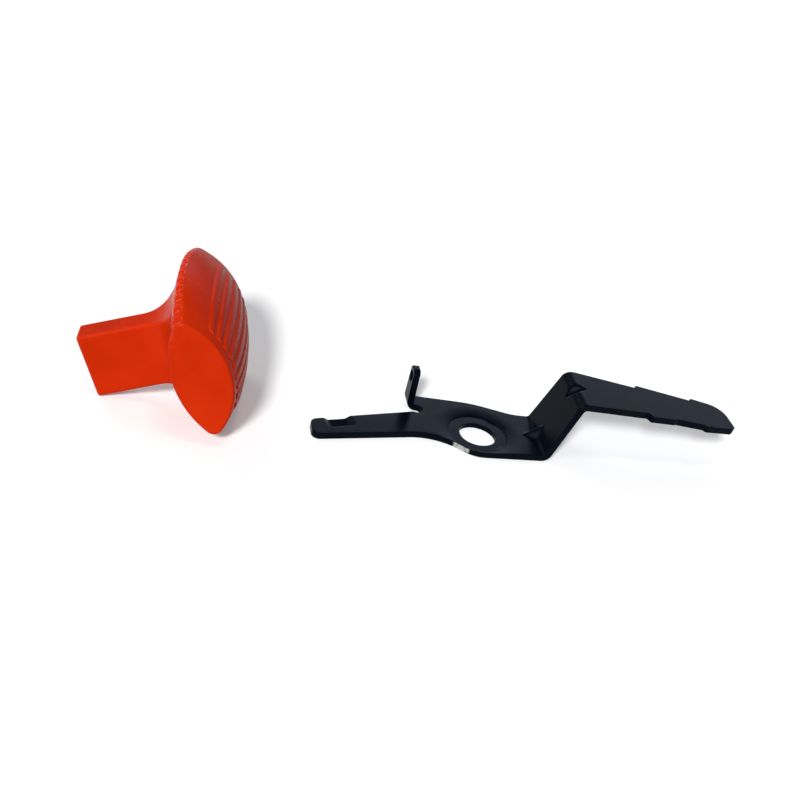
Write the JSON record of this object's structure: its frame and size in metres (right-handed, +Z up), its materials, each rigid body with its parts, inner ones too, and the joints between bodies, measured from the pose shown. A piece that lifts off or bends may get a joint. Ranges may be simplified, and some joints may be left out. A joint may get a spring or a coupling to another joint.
{
  "type": "mower gear lever",
  "caption": "Stamped steel gear lever with a dished pivot seat, a Z-bend, a barbed blade and a drilled ear, with its moulded T-grip knob lying beside it.",
  "frame": {"origin": "on the pivot hole's axis, at the underside of the lever plate, which is the surface that both pieces lie on", "axes": "+Z up along the pivot hole's axis; +X along the lever from the pivot towards the blade's tip; +Y towards the ear's side"},
  "size_m": [0.3787, 0.0899, 0.0785],
  "materials": {
    "black_paint": "satin black paint over stamped steel",
    "orange_plastic": "satin-gloss orange-red moulded plastic"
  },
  "bodies": {
    "root": {"lever_plate": "black_paint", "grip_knob": "orange_plastic"}
  },
  "joints": []
}
